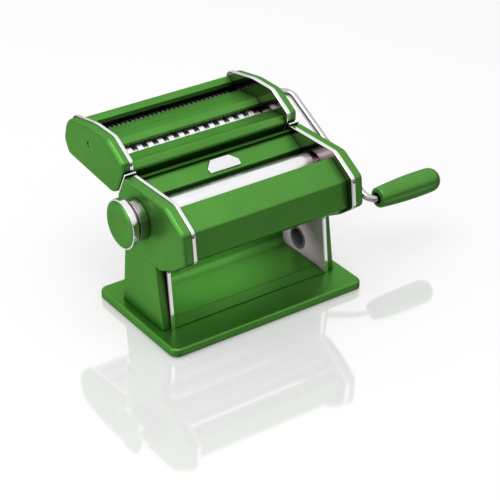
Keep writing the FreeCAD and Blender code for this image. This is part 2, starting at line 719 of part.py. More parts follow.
rim = turned(
    KNOB_Y,
    KNOB_Z,
    [(-RIM_FRONT, KNOB_R - 0.5), (-RIM_FRONT + 0.5, KNOB_R), (-RIM_BACK - 0.7, KNOB_R), (-RIM_BACK, KNOB_R - 0.7),
     (-RIM_BACK, 9.0), (-96.0, 9.0)],
)
rim = cut(
    rim,
    round_x(KNOB_Y, KNOB_Z, KNOB_R - 1.2, -RIM_FRONT - 1, -107.0),
    round_x(KNOB_Y, KNOB_Z, 7.7, -RIM_FRONT - 1, -97.2),
    round_x(KNOB_Y, KNOB_Z, SPINDLE_R + RUN, -RIM_FRONT, -90),
)
pins = []
for k in (0, 5):
    angle = math.radians(36 * k + 18)
    cy = KNOB_Y + 13.2 * math.cos(angle)
    cz = KNOB_Z + 13.2 * math.sin(angle)
    rim = rim.cut(round_x(cy, cz, 1.15, -RIM_BACK - 1, -RIM_BACK))
    pins.append(turned(cy, cz, [(-RIM_BACK - 1.0, 1.15), (-101.6, 1.15), (-101.05, 0.7)]))
export("knob_rim", rim)
export("detent_pins", Part.makeCompound(pins))

CAP_R = KNOB_R - 1.2
cap_back = -107.0
cap_points = [V(cap_back, KNOB_Y, KNOB_Z), V(cap_back, KNOB_Y, KNOB_Z + CAP_R)]
cap_edge = V(-RIM_FRONT - 0.2, KNOB_Y, KNOB_Z + CAP_R)
cap_shoulder = V(-RIM_FRONT - 2.1, KNOB_Y, KNOB_Z + CAP_R - 4.6)
cap_dish = V(-RIM_FRONT - 1.95, KNOB_Y, KNOB_Z + 12.4)
cap_middle = V(-RIM_FRONT - 0.7, KNOB_Y, KNOB_Z)
cap_floor = Part.BezierCurve()
cap_floor.setPoles([cap_dish, cap_dish + V(0.9, 0, -3.2), cap_middle + V(0, 0, 6.0), cap_middle])
cap_wire = Part.Wire(
    [
        Part.makeLine(cap_points[0], cap_points[1]),
        Part.makeLine(cap_points[1], cap_edge),
        Part.Arc(cap_edge, V(-RIM_FRONT - 1.4, KNOB_Y, KNOB_Z + CAP_R - 2.0), cap_shoulder).toShape(),
        Part.Arc(cap_shoulder, V(-RIM_FRONT - 2.25, KNOB_Y, KNOB_Z + 14.2), cap_dish).toShape(),
        cap_floor.toShape(),
        Part.makeLine(cap_middle, cap_points[0]),
    ]
)
export("knob_cap", Part.Face(cap_wire).revolve(V(0, KNOB_Y, KNOB_Z), V(1, 0, 0), 360))

SPRING_R = 6.4
WIRE_R = 0.45
SPRING_LENGTH = HEAD_BACK - 97.2 - 2 * WIRE_R - 0.3
helix = Part.makeHelix(SPRING_LENGTH / 3.5, SPRING_LENGTH, SPRING_R)
coil_profile = Part.Wire([Part.makeCircle(WIRE_R, V(SPRING_R, 0, 0), V(0, 1, 0))])
coil = Part.Wire(helix.Edges).makePipeShell([coil_profile], True, True)
coil.rotate(V(0, 0, 0), V(0, 1, 0), -90)
coil.translate(V(-97.2 - WIRE_R - 0.15, KNOB_Y, KNOB_Z))
export("knob_spring", coil)

# ---------------------------------------------------------------- rails for the cutter unit
RAIL = 1.3
rail_path = [(22.9, 132.4, 0.0), (34.85, 109.6, 4.0), (34.85, 62.0, 0.0)]
rail = prism_x(bent(rail_path, RAIL, 1.0), INNER_HALF, 89.2)
CHANNEL_TOP = 105.0
channel = box(77.2, 80.8, 34.85 + RAIL, 47.4, 63.0, CHANNEL_TOP)
channel = channel.cut(box(78.2, 79.8, TONGUE[0] - 0.25, 48.0, TONGUE[2] - 0.1, CHANNEL_TOP + 1))
rail = rail.fuse(channel).removeSplitter()
export("cutter_rails", both_sides(rail))

# ---------------------------------------------------------------- cutter unit
CUTTER_RODS = [(36.0, 124.5), (83.0, 116.5), (116.8, 136.4)]
CUTTER_ROD_R = 2.6
CUTTER_BUSH_R = 6.4
CUTTER_AXES = [
    (WIDE_FRONT_Y, WIDE_Z),
    (WIDE_REAR_Y, WIDE_Z),
    (FINE_FRONT_Y, FINE_Z),
    (FINE_REAR_Y, FINE_Z),
]
COVER_SCREW = (80.9, 138.1)

cutter_frame = prism_x(CUTTER_OUTLINE, INNER_HALF, FLANGE_OUT)
cutter_frame = cutter_frame.makeFillet(0.8, edges_at_x(cutter_frame, INNER_HALF))
cutter_frame = cutter_frame.cut(prism_x(inset(CUTTER_OUTLINE, PLATE), WEB_OUT, FLANGE_OUT + 1))
cutter_frame = cutter_frame.cut(box(WEB_OUT + 0.2, FLANGE_OUT + 1, 24.0, 30.0, 137.4, 138.6))
tongue = box(INNER_HALF, WEB_OUT, TONGUE[0], TONGUE[1], TONGUE[2], 118.0)
cutter_frame = cutter_frame.fuse(tongue).removeSplitter()
for ay, az in CUTTER_AXES:
    cutter_frame = cutter_frame.cut(round_x(ay, az, CUTTER_BUSH_R, INNER_HALF - 1, WEB_OUT + 1))
for ry, rz in CUTTER_RODS:
    cutter_frame = cutter_frame.cut(round_x(ry, rz, 1.6, INNER_HALF - 1, WEB_OUT + 1))
export("cutter_frame_right", cutter_frame)
export("cutter_frame_left", mirrored(cutter_frame))

cover_outline = [(CUTTER_OUTLINE[0][0], CUTTER_OUTLINE[0][1], COVER_CORNER)] + CUTTER_OUTLINE[1:]
cutter_cover = prism_x(inset(cover_outline, 0.5), COVER_IN, CUTTER_COVER_OUT)
cutter_cover = cutter_cover.makeFillet(3.6, edges_at_x(cutter_cover, CUTTER_COVER_OUT))
cutter_cover = cutter_cover.cut(
    prism_x(inset(cover_outline, 0.5 + WALL + 0.3), COVER_IN - 1, CUTTER_COVER_OUT - WALL)
)
cutter_cover = cutter_cover.cut(round_x(WIDE_REAR_Y, WIDE_Z, 10.5, COVER_IN - 1, CUTTER_COVER_OUT - WALL))
post = round_x(COVER_SCREW[0], COVER_SCREW[1], 3.4, COVER_IN, CUTTER_COVER_OUT - 1.0)
cutter_cover = cutter_cover.fuse(post).removeSplitter()
screw_hole = round_x(COVER_SCREW[0], COVER_SCREW[1], 1.5, COVER_IN - 1, CUTTER_COVER_OUT + 1)
head_seat = round_x(COVER_SCREW[0], COVER_SCREW[1], 2.4, CUTTER_COVER_OUT - 2.2, CUTTER_COVER_OUT + 1)
cutter_cover = cut(cutter_cover, screw_hole, head_seat)
export("cutter_cover_left", mirrored(cutter_cover))
right_cutter_cover = cut(
    cutter_cover,
    round_x(WIDE_REAR_Y, WIDE_Z, CUTTER_JOURNAL_R + 1.0, 85, 95),
    round_x(FINE_FRONT_Y, FINE_Z, CUTTER_JOURNAL_R + 1.0, 85, 95),
)
export("cutter_cover_right", right_cutter_cover)

cover_screw = turned(
    COVER_SCREW[0],
    COVER_SCREW[1],
    [(COVER_IN + 0.1, 1.5), (CUTTER_COVER_OUT - 2.2, 1.5), (CUTTER_COVER_OUT - 2.2, 2.4),
     (CUTTER_COVER_OUT - 1.2, 2.4), (CUTTER_COVER_OUT - 0.7, 1.6)],
)
cover_screw = cover_screw.cut(
    box(CUTTER_COVER_OUT - 1.3, CUTTER_COVER_OUT, COVER_SCREW[0] - 3, COVER_SCREW[0] + 3,
        COVER_SCREW[1] - 0.35, COVER_SCREW[1] + 0.35)
)
export("cutter_cover_screws", both_sides(cover_screw))

cutter_front_path = [
    (52.6, 132.4, 0.0),
    (52.6, 134.6, 0.9),
    (33.0, 137.3, 2.6),
    (28.1, 131.7, 3.6),
    (36.8, 113.6, 0.0),
]
export("cutter_front_panel", prism_x(bent(cutter_front_path, SHEET, 1.0), -PANEL_HALF, PANEL_HALF))
cutter_middle_path = [
    (68.4, 133.0, 0.0),
    (68.4, 135.0, 0.9),
    (73.6, 139.0, 1.4),
    (101.5, 135.8, 0.9),
    (101.5, 133.8, 0.0),
]
export("cutter_middle_panel", prism_x(bent(cutter_middle_path, SHEET, -1.0), -PANEL_HALF, PANEL_HALF))
cutter_rear_path = [
    (111.9, 136.2, 0.0),
    (111.9, 140.0, 0.9),
    (118.6, 145.9, 3.0),
    (124.2, 126.8, 9.0),
    (117.8, 115.4, 0.0),
]
export("cutter_rear_panel", prism_x(bent(cutter_rear_path, SHEET, -1.0), -PANEL_HALF, PANEL_HALF))

rods = []
rod_screws = []
for ry, rz in CUTTER_RODS:
    rod = round_x(ry, rz, CUTTER_ROD_R, -INNER_HALF, INNER_HALF)
    for side in (1, -1):
        hole = round_x(ry, rz, 1.6, INNER_HALF - 8, INNER_HALF + 1)
        screw = round_x(ry, rz, 1.6, INNER_HALF - 7, WEB_OUT)
        head = turned(ry, rz, [(WEB_OUT, 3.1), (WEB_OUT + 1.2, 3.1), (WEB_OUT + 1.9, 2.2)])
        whole = fuse(screw, head)
        rod = rod.cut(hole if side > 0 else mirrored(hole))
        rod_screws.append(whole if side > 0 else mirrored(whole))
    rods.append(rod)
export("cutter_tie_rods", Part.makeCompound(rods))
export("cutter_rod_screws", Part.makeCompound(rod_screws))

bushes = []
for ay, az in CUTTER_AXES:
    one = turned(
        ay,
        az,
        [(INNER_HALF - 0.5, CUTTER_BUSH_R), (WEB_OUT, CUTTER_BUSH_R), (WEB_OUT, CUTTER_BUSH_R + 0.7),
         (WEB_OUT + 1.4, CUTTER_BUSH_R + 0.7)],
    )
    one = one.cut(round_x(ay, az, CUTTER_JOURNAL_R + RUN, 70, 95))
    bushes.append(one)
    bushes.append(mirrored(one))
export("cutter_bushes", Part.makeCompound(bushes))


def cutter(y, z, radius, root, first, pitch, disc, count, right_end, socket):
    """Cutter roller: a row of square-edged discs on a core, with a journal at each end."""
    end = 77.4
    profile = [(-81.6, CUTTER_JOURNAL_R), (-end, CUTTER_JOURNAL_R), (-end, root)]
    for k in range(count):
        middle = first + k * pitch
        profile += [
            (middle - disc / 2, root),
            (middle - disc / 2, radius),
            (middle + disc / 2, radius),
            (middle + disc / 2, root),
        ]
    profile += [(end, root), (end, CUTTER_JOURNAL_R), (right_end, CUTTER_JOURNAL_R)]
    body = turned(y, z, profile)
    if socket:
        body = body.cut(socket_hole(y, z, right_end))
    return body


WIDE_ROOT = WIDE_REAR_Y - WIDE_FRONT_Y - WIDE_R - 0.4
FINE_ROOT = FINE_REAR_Y - FINE_FRONT_Y - FINE_R - 0.35
SOCKET_END = CUTTER_COVER_OUT - 0.1
CUTTER_GEAR_IN = 82.6
CUTTER_GEAR_OUT = 87.4
SHORT_END = CUTTER_GEAR_OUT + 0.4
WIDE_FIRST = -69.9
FINE_FIRST = -72.45
wide_front = cutter(WIDE_FRONT_Y, WIDE_Z, WIDE_R, WIDE_ROOT, WIDE_FIRST + WIDE_PITCH / 2, WIDE_PITCH, WIDE_DISC,
                    WIDE_COUNT, SHORT_END, False)
wide_rear = cutter(WIDE_REAR_Y, WIDE_Z, WIDE_R, WIDE_ROOT, WIDE_FIRST, WIDE_PITCH, WIDE_DISC,
                   WIDE_COUNT, SOCKET_END, True)
fine_front = cutter(FINE_FRONT_Y, FINE_Z, FINE_R, FINE_ROOT, FINE_FIRST, FINE_PITCH, FINE_DISC,
                    FINE_COUNT, SOCKET_END, True)
fine_rear = cutter(FINE_REAR_Y, FINE_Z, FINE_R, FINE_ROOT, FINE_FIRST + FINE_PITCH / 2, FINE_PITCH, FINE_DISC,
                   FINE_COUNT, SHORT_END, False)
export("wide_cutter_front", wide_front)
export("wide_cutter_rear", wide_rear)
export("fine_cutter_front", fine_front)
export("fine_cutter_rear", fine_rear)

WIDE_TEETH = 20
FINE_TEETH = 16
WIDE_MODULE = (WIDE_REAR_Y - WIDE_FRONT_Y) / WIDE_TEETH
FINE_MODULE = (FINE_REAR_Y - FINE_FRONT_Y) / FINE_TEETH
for name, gy, gz, teeth, module, first_tooth in (
    ("wide_gear_front", WIDE_FRONT_Y, WIDE_Z, WIDE_TEETH, WIDE_MODULE, 0.0),
    ("wide_gear_rear", WIDE_REAR_Y, WIDE_Z, WIDE_TEETH, WIDE_MODULE, math.pi + math.pi / WIDE_TEETH),
    ("fine_gear_front", FINE_FRONT_Y, FINE_Z, FINE_TEETH, FINE_MODULE, 0.0),
    ("fine_gear_rear", FINE_REAR_Y, FINE_Z, FINE_TEETH, FINE_MODULE, math.pi + math.pi / FINE_TEETH),
):
    export(name, gear(gy, gz, teeth, module, CUTTER_GEAR_IN, CUTTER_GEAR_OUT, CUTTER_JOURNAL_R,
                      first_tooth, 0.15, 0.3))


def comb(near, far, plate_low, plate_high, tooth_top, tooth_far, first, pitch, width, count):
    """Stripping comb: a plate across the unit whose teeth stand in the cutter's grooves."""
    low_y = min(near, far)
    high_y = max(near, far)
    plate = box(-PANEL_HALF, PANEL_HALF, low_y, high_y, plate_low, plate_high)
    teeth = []
    for k in range(count):
        middle = first + k * pitch
        if abs(middle) + width / 2 > 77.0:
            continue
        teeth.append(box(middle - width / 2, middle + width / 2, min(near, tooth_far), max(near, tooth_far),
                         plate_high - 0.2, tooth_top))
    return fuse(plate, *teeth)


wide_nip = (WIDE_FRONT_Y + WIDE_REAR_Y) / 2
fine_nip = (FINE_FRONT_Y + FINE_REAR_Y) / 2
wide_combs = [
    comb(wide_nip - 2.2, 45.6, 108.4, 109.5, 112.4, wide_nip - 5.8, WIDE_FIRST, WIDE_PITCH, 4.7, WIDE_COUNT),
    comb(wide_nip + 2.2, 73.0, 108.4 + 0.8, 109.5 + 0.4, 112.4, wide_nip + 5.8, WIDE_FIRST + WIDE_PITCH / 2,
         WIDE_PITCH, 4.7, WIDE_COUNT),
]
fine_combs = [
    comb(fine_nip - 2.2, 89.5, 113.4, 114.6, 117.0, fine_nip - 4.8, FINE_FIRST + FINE_PITCH / 2, FINE_PITCH, 1.8,
         FINE_COUNT),
    comb(fine_nip + 2.2, 115.0, 113.8, 114.8, 117.0, fine_nip + 4.8, FINE_FIRST, FINE_PITCH, 1.8, FINE_COUNT),
]
export("wide_combs", Part.makeCompound(wide_combs))
export("fine_combs", Part.makeCompound(fine_combs))

# ---------------------------------------------------------------- crank
arm = V(0, math.cos(math.radians(ARM_ANGLE)), math.sin(math.radians(ARM_ANGLE)))
along = V(1, 0, 0)
upper_corner = V(CRANK_PLANE, FINE_FRONT_Y, FINE_Z)
lower_corner = upper_corner + arm * ARM_LENGTH
rod_start = V(93.2, FINE_FRONT_Y, FINE_Z)
rod_end = V(GRIP_END - 12.0, lower_corner.y, lower_corner.z)
bow = BEND_R * (1 - math.sqrt(0.5))


def bend_arc(corner, incoming, outgoing):
    """Quarter turn that joins two perpendicular stretches at a corner."""
    start = corner - incoming * BEND_R
    finish = corner + outgoing * BEND_R
    centre = corner - incoming * BEND_R + outgoing * BEND_R
    middle = centre + (corner - centre).normalize() * BEND_R
    return start, Part.Arc(start, middle, finish).toShape(), finish


start_a, arc_a, end_a = bend_arc(upper_corner, along, arm)
start_b, arc_b, end_b = bend_arc(lower_corner, arm, along)
spine = Part.Wire(
    [Part.makeLine(rod_start, start_a), arc_a, Part.makeLine(end_a, start_b), arc_b, Part.makeLine(end_b, rod_end)]
)
section = Part.Wire([Part.makeCircle(ROD_R, rod_start, along)])
rod = spine.makePipeShell([section], True, False)
plug = round_x(FINE_FRONT_Y, FINE_Z, PLUG_R, SOCKET_END - SOCKET_BORE + 0.5, 93.4)
tongue = box(
    SOCKET_END - SOCKET_DEPTH + 0.5,
    SOCKET_END - SOCKET_BORE + 1.5,
    FINE_FRONT_Y - TONGUE_HALF,
    FINE_FRONT_Y + TONGUE_HALF,
    FINE_Z - 3.0,
    FINE_Z + 3.0,
)
export("crank_rod", fuse(rod, plug, tongue))

GRIP_Y = lower_corner.y
GRIP_Z = lower_corner.z


def grip_point(x, radius):
    return V(x, GRIP_Y, GRIP_Z + radius)


grip_dome = Part.BezierCurve()
grip_dome.setPoles(
    [grip_point(GRIP_END - 12.0, 11.3), grip_point(GRIP_END - 4.0, 11.3), grip_point(GRIP_END, 8.0),
     grip_point(GRIP_END, 0)]
)
grip_edges = [
    Part.makeLine(grip_point(GRIP_START, 0), grip_point(GRIP_START, 7.4)),
    Part.Arc(grip_point(GRIP_START, 7.4), grip_point(GRIP_START + 0.6, 8.8), grip_point(GRIP_START + 2.0, 9.4)).toShape(),
    Part.Arc(grip_point(GRIP_START + 2.0, 9.4), grip_point(GRIP_START + 32.0, 11.3),
             grip_point(GRIP_END - 12.0, 11.3)).toShape(),
    grip_dome.toShape(),
    Part.makeLine(grip_point(GRIP_END, 0), grip_point(GRIP_START, 0)),
]
grip = Part.Face(Part.Wire(grip_edges)).revolve(V(0, GRIP_Y, GRIP_Z), V(1, 0, 0), 360)
grip = cut(
    grip,
    round_x(GRIP_Y, GRIP_Z, 5.4, GRIP_START - 2, GRIP_START + 3.4),
    round_x(GRIP_Y, GRIP_Z, ROD_R + RUN, GRIP_START, GRIP_END - 11.6),
)
export("crank_grip", grip)
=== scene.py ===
"""Looks of the hand-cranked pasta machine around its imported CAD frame. Metres, in the CAD's own frame."""

import math

import bpy
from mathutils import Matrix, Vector


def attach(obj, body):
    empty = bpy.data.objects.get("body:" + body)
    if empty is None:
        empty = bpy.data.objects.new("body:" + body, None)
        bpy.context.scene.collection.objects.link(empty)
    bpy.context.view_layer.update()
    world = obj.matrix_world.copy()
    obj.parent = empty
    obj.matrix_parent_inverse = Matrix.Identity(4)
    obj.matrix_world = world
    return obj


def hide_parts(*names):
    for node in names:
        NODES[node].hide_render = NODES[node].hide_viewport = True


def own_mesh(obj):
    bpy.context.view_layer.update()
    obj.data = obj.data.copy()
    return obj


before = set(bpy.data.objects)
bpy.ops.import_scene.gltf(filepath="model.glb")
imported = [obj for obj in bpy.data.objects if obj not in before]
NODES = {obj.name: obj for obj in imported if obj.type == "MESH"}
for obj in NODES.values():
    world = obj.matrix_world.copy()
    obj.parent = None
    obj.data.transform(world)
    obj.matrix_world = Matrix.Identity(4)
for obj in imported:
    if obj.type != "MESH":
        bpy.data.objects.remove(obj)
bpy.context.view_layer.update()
MM = 0.001

# ---- colours, linear ----
GREEN = (0.084, 0.275, 0.046)
GREEN_DEEP = (0.068, 0.236, 0.037)      # darker patches of the green coat
GREEN_WORN = (0.115, 0.330, 0.075)      # hairline rubs in it
GREEN_EDGE = (0.42, 0.80, 0.34)         # tint of its highlights
CREASE_SHADE = (0.010, 0.034, 0.006)          # painted shade at the bottom of a pressed line
CHROME = (0.86, 0.86, 0.87)
ROD = (0.56, 0.55, 0.56)
# painted shade: near black for the shade inside the clamp holes
SLEEVE_SHADE = (0.075, 0.073, 0.078)
ZINC = (0.56, 0.57, 0.60)
ROLLER = (0.88, 0.88, 0.89)
CUTTER = (0.90, 0.90, 0.91)
GEAR = (0.34, 0.34, 0.36)
BRONZE = (0.50, 0.31, 0.13)
COMB = (0.62, 0.62, 0.60)
PLATE_INNER_REFLECTION = (0.50, 0.39, 0.47)        # painted reflection: side plate's web between the legs, lilac grey for the mirrored room
PLATE_UPPER_SHADE = (0.20, 0.15, 0.165)       # painted shade: side plate's web beside the rollers
RUBBER = (0.012, 0.012, 0.013)
RUBBER_DUST = (0.035, 0.034, 0.033)
GROOVE = (0.46, 0.41, 0.43)

# ---- surface texture: heights are small, because the grain is only just felt ----
EDGE_RADIUS = 0.30 * MM                 # softened sharp edges
GRAIN_HEIGHT = 0.020 * MM               # drawn or turned grain
SPECK_HEIGHT = 0.012 * MM               # fine speckle in the sheet's coat
COVER_SPECK_HEIGHT = 0.010 * MM
PEEL_HEIGHT = 0.060 * MM                # orange peel on the mouldings
LACQUER_HEIGHT = 0.010 * MM
PORE_HEIGHT = 0.040 * MM
SPARK_HEIGHT = 0.030 * MM
RUBBER_HEIGHT = 0.080 * MM
CREASE_HEIGHT = 0.20 * MM
CREASE_CORE = 0.20 * MM                 # half width of a pressed line at full depth
CREASE_EDGE = 0.45 * MM                 # and where it has faded out
CREASE_SHADE_STRENGTH = 0.80
COMMON = (0.3, 0.7)                     # most of a noise's values lie in this range
STEEL_COMMON = (0.3, 0.75)              # the wider range used for smears on bare metal

# ---- painted shade in crevices ----
CREVICE_REACH = 16.0 * MM               # how close another surface has to be to darken this one
CREVICE_SHADE_TONE = 0.06                     # painted shade: what is left of the colour at the deepest
CREVICE_OPEN = (0.08, 0.80)             # openness from deepest to clear

# ---- side plates ----
WEB_SATIN_TOP = 80.0 * MM               # the web is satin below this height
WEB_SATIN_FADE = 4.0 * MM
WEB_FACING = (0.80, 0.95)               # a face this square to the X axis is web, not rim

# ---- sockets of a Mix node in colour mode ----
MIX_A = 6
MIX_B = 7
MIX_RESULT = 2


# ---------------------------------------------------------------- node helpers
class Graph:
    """A node tree, and short calls that add a node and return its output."""

    def __init__(self, owner):
        owner.use_nodes = True
        self.nodes = owner.node_tree.nodes
        self.links = owner.node_tree.links

    def join(self, source, target):
        self.links.new(source, target)

    def span(self, value, from_low, from_high, to_low, to_high, smooth=False):
        """Value carried from one range to another, and held at its ends."""
        node = self.nodes.new("ShaderNodeMapRange")
        if smooth:
            node.interpolation_type = "SMOOTHSTEP"
        numbers = (from_low, from_high, to_low, to_high)
        for socket, number in zip(("From Min", "From Max", "To Min", "To Max"), numbers):
            node.inputs[socket].default_value = number
        self.join(value, node.inputs["Value"])
        return node.outputs["Result"]

    def math(self, operation, a, b=0.0):
        """Each of a and b may be a number or another node's output."""
        node = self.nodes.new("ShaderNodeMath")
        node.operation = operation
        for socket, value in zip(node.inputs, (a, b)):
            if isinstance(value, (int, float)):
                socket.default_value = value
            else:
                self.join(value, socket)
        return node.outputs["Value"]

    def axes(self, vector):
        """A vector's X, Y and Z outputs."""
        split = self.nodes.new("ShaderNodeSeparateXYZ")
        self.join(vector, split.inputs["Vector"])
        return split.outputs


class Tree(Graph):
    """A material with a Principled shader."""

    def __init__(self, name, colour, metallic, roughness, **sockets):
        self.material = bpy.data.materials.new(name)
        super().__init__(self.material)
        self.shader = self.nodes["Principled BSDF"]
        self.set("Base Color", (*colour, 1.0))
        self.set("Metallic", metallic)
        self.set("Roughness", roughness)
        for socket, value in sockets.items():
            self.set(socket.replace("_", " "), value)

    def set(self, socket, value):
        self.shader.inputs[socket].default_value = value

    def feed(self, socket, source):
        self.join(source, self.shader.inputs[socket])

    def place(self, stretch=(1.0, 1.0, 1.0)):
        """The piece's own coordinates in metres, scaled along each axis."""
        coordinates = self.nodes.new("ShaderNodeTexCoord")
        mapping = self.nodes.new("ShaderNodeMapping")
        mapping.inputs["Scale"].default_value = stretch
        self.join(coordinates.outputs["Object"], mapping.inputs["Vector"])
        return mapping.outputs["Vector"]

    def noise(self, scale, stretch=(1.0, 1.0, 1.0), detail=3.0, rough=0.55):
        node = self.nodes.new("ShaderNodeTexNoise")
        node.inputs["Scale"].default_value = scale
        node.inputs["Detail"].default_value = detail
        node.inputs["Roughness"].default_value = rough
        self.join(self.place(stretch), node.inputs["Vector"])
        return node.outputs["Fac"]

    def cells(self, scale):
        node = self.nodes.new("ShaderNodeTexVoronoi")
        node.inputs["Scale"].default_value = scale
        self.join(self.place(), node.inputs["Vector"])
        return node.outputs["Distance"]

    def mix(self, factor, a, b):
        """Colour between a and b; each may be a colour or another node's output."""
        node = self.nodes.new("ShaderNodeMix")
        node.data_type = "RGBA"
        self.join(factor, node.inputs["Factor"])
        for socket, value in ((node.inputs[MIX_A], a), (node.inputs[MIX_B], b)):
            if isinstance(value, tuple):
                socket.default_value = (*value, 1.0)
            else:
                self.join(value, socket)
        return node.outputs[MIX_RESULT]

    def bump(self, *layers):
        """Stacked bumps over softened edges; each layer is (height, distance in metres, strength)."""
        edge = self.nodes.new("ShaderNodeBevel")
        edge.samples = 6
        edge.inputs["Radius"].default_value = EDGE_RADIUS
        normal = edge.outputs["Normal"]
        for height, distance, strength in layers:
            node = self.nodes.new("ShaderNodeBump")
            node.inputs["Distance"].default_value = distance
            node.inputs["Strength"].default_value = strength
            self.join(height, node.inputs["Height"])
            self.join(normal, node.inputs["Normal"])
            normal = node.outputs["Normal"]
        self.feed("Normal", normal)

    def paint_crevice_shade(self, depth=CREVICE_SHADE_TONE):
        """Painted shade: darkens the tone by ambient occlusion in crevices and where pieces meet."""
        base = self.shader.inputs["Base Color"]
        tone = base.links[0].from_socket
        hollow = self.nodes.new("ShaderNodeAmbientOcclusion")
        hollow.samples = 8
        hollow.inputs["Distance"].default_value = CREVICE_REACH
        shade = self.span(hollow.outputs["AO"], *CREVICE_OPEN, depth, 1.0)
        scale = self.nodes.new("ShaderNodeVectorMath")
        scale.operation = "SCALE"
        self.join(tone, scale.inputs[0])
        self.join(shade, scale.inputs["Scale"])
        self.join(scale.outputs["Vector"], base)


# how a noise is stretched so that its streaks run along an axis
GRAIN = {"x": (1.0, 40.0, 40.0), "y": (40.0, 1.0, 40.0), "z": (40.0, 40.0, 1.0)}


def green_metal(name, grain_depth=1.0, crease=None):
    """Satin anodised sheet: fine grain along X, cloudy tone, a few hairline rubs.

    crease is the Y of a pressed line across the sheet, in millimetres; its bottom is darkened with painted
    shade.
    """
    t = Tree(name, GREEN, 0.80, 0.34, Coat_Weight=0.04, Coat_Roughness=0.30)
    t.set("Specular Tint", (*GREEN_EDGE, 1.0))
    cloud = t.noise(14.0, detail=2.0)
    fine = t.noise(55.0, GRAIN["x"], detail=4.0, rough=0.7)
    speck = t.noise(2600.0, detail=1.0)
    rub = t.noise(9.0, tuple(0.35 * c for c in GRAIN["x"]), detail=6.0, rough=0.85)
    tone = t.mix(t.span(cloud, *COMMON, 0.0, 1.0), GREEN_DEEP, GREEN)
    tone = t.mix(t.span(rub, 0.70, 0.86, 0.0, 0.35), tone, GREEN_WORN)
    layers = [(fine, GRAIN_HEIGHT * grain_depth, 0.20), (speck, SPECK_HEIGHT, 0.25)]
    if crease is not None:
        away = t.math("ABSOLUTE", t.math("SUBTRACT", t.axes(t.place())["Y"], crease * MM))
        line = t.span(away, CREASE_CORE, CREASE_EDGE, 1.0, 0.0)
        # painted shade: the bottom of the pressed line darkened nearly to black
        tone = t.mix(t.math("MULTIPLY", line, CREASE_SHADE_STRENGTH), tone, CREASE_SHADE)
        layers.append((t.math("SUBTRACT", 1.0, line), CREASE_HEIGHT, 0.5))
    t.feed("Base Color", tone)
    rough = t.math("ADD", t.span(fine, 0.2, 0.8, 0.30, 0.42), t.span(cloud, *COMMON, -0.03, 0.03))
    t.feed("Roughness", rough)
    t.bump(*layers)
    t.paint_crevice_shade()
    return t.material


def green_moulding(name):
    """Moulded cover with the same satin coat: no grain direction, a trace of orange peel."""
    t = Tree(name, GREEN, 0.76, 0.32, Coat_Weight=0.06, Coat_Roughness=0.25)
    t.set("Specular Tint", (*GREEN_EDGE, 1.0))
    cloud = t.noise(18.0, detail=2.0)
    peel = t.noise(420.0, detail=2.0)
    speck = t.noise(3000.0, detail=1.0)
    tone = t.mix(t.span(cloud, *COMMON, 0.0, 1.0), GREEN_DEEP, GREEN)
    t.feed("Base Color", tone)
    t.feed("Roughness", t.span(peel, *COMMON, 0.30, 0.39))
    t.bump((peel, PEEL_HEIGHT, 0.10), (speck, COVER_SPECK_HEIGHT, 0.20))
    t.paint_crevice_shade()
    return t.material


def steel(name, colour, roughness, grain, depth=1.0, spread=0.05):
    """Plated or bare steel: hairline grain along one axis and slight smears of roughness."""
    t = Tree(name, colour, 1.0, roughness)
    fine = t.noise(60.0, GRAIN[grain], detail=5.0, rough=0.7)
    smear = t.noise(30.0, detail=3.0)
    dark = tuple(0.90 * c for c in colour)
    t.feed("Base Color", t.mix(t.span(smear, *STEEL_COMMON, 0.0, 1.0), colour, dark))
    rough = t.math("ADD", t.span(fine, 0.25, 0.75, roughness - spread / 2, roughness + spread / 2),
                   t.span(smear, 0.35, 0.7, -spread / 2, spread / 2))
    t.feed("Roughness", rough)
    t.bump((fine, GRAIN_HEIGHT * depth, 0.15))
    t.paint_crevice_shade()
    return t.material


def folded_plate(name):
    """Side plate: mirror-plated rims. The flat web is satin and grey low down, a painted reflection; darker
    and glossy above, painted shade.
    """
    t = Tree(name, CHROME, 1.0, 0.14)
    fine = t.noise(60.0, GRAIN["y"], detail=5.0, rough=0.7)
    smear = t.noise(24.0, detail=3.0)
    facing = t.axes(t.nodes.new("ShaderNodeNewGeometry").outputs["True Normal"])
    web = t.span(t.math("ABSOLUTE", facing["X"]), *WEB_FACING, 0.0, 1.0)
    low = t.span(t.axes(t.place())["Z"], WEB_SATIN_TOP - WEB_SATIN_FADE, WEB_SATIN_TOP, 1.0, 0.0)
    satin = t.math("MULTIPLY", web, low)
    dark = tuple(0.92 * c for c in CHROME)
    rim_tone = t.mix(t.span(smear, *STEEL_COMMON, 0.0, 1.0), CHROME, dark)
    # painted shade on the web above, painted reflection on it below
    web_shade_and_reflection = t.mix(low, PLATE_UPPER_SHADE, PLATE_INNER_REFLECTION)
    t.feed("Base Color", t.mix(web, rim_tone, web_shade_and_reflection))
    t.feed("Metallic", t.span(satin, 0.0, 1.0, 1.0, 0.30))
    rough = t.math("ADD", t.span(satin, 0.0, 1.0, 0.12, 0.44), t.span(fine, 0.25, 0.75, -0.02, 0.03))
    t.feed("Roughness", rough)
    t.bump((fine, GRAIN_HEIGHT, 0.12))
    t.paint_crevice_shade()
    return t.material


def turned_metal(name, colour, roughness, pitch, depth=1.0, crevice_shade=CREVICE_SHADE_TONE):
    """Lathe-turned about the X axis: faint rings along the length and patchy polish."""
    t = Tree(name, colour, 1.0, roughness)
    rings = t.noise(1.0, (1.0 / pitch, 2.0, 2.0), detail=4.0, rough=0.8)
    patch = t.noise(35.0, detail=3.0)
    dark = tuple(0.88 * c for c in colour)
    t.feed("Base Color", t.mix(t.span(patch, *STEEL_COMMON, 0.0, 1.0), colour, dark))
    rough = t.math("ADD", t.span(rings, *COMMON, roughness - 0.04, roughness + 0.05),
                   t.span(patch, 0.35, 0.7, -0.03, 0.03))
    t.feed("Roughness", rough)
    t.bump((rings, GRAIN_HEIGHT * depth, 0.18))
    t.paint_crevice_shade(crevice_shade)
    return t.material


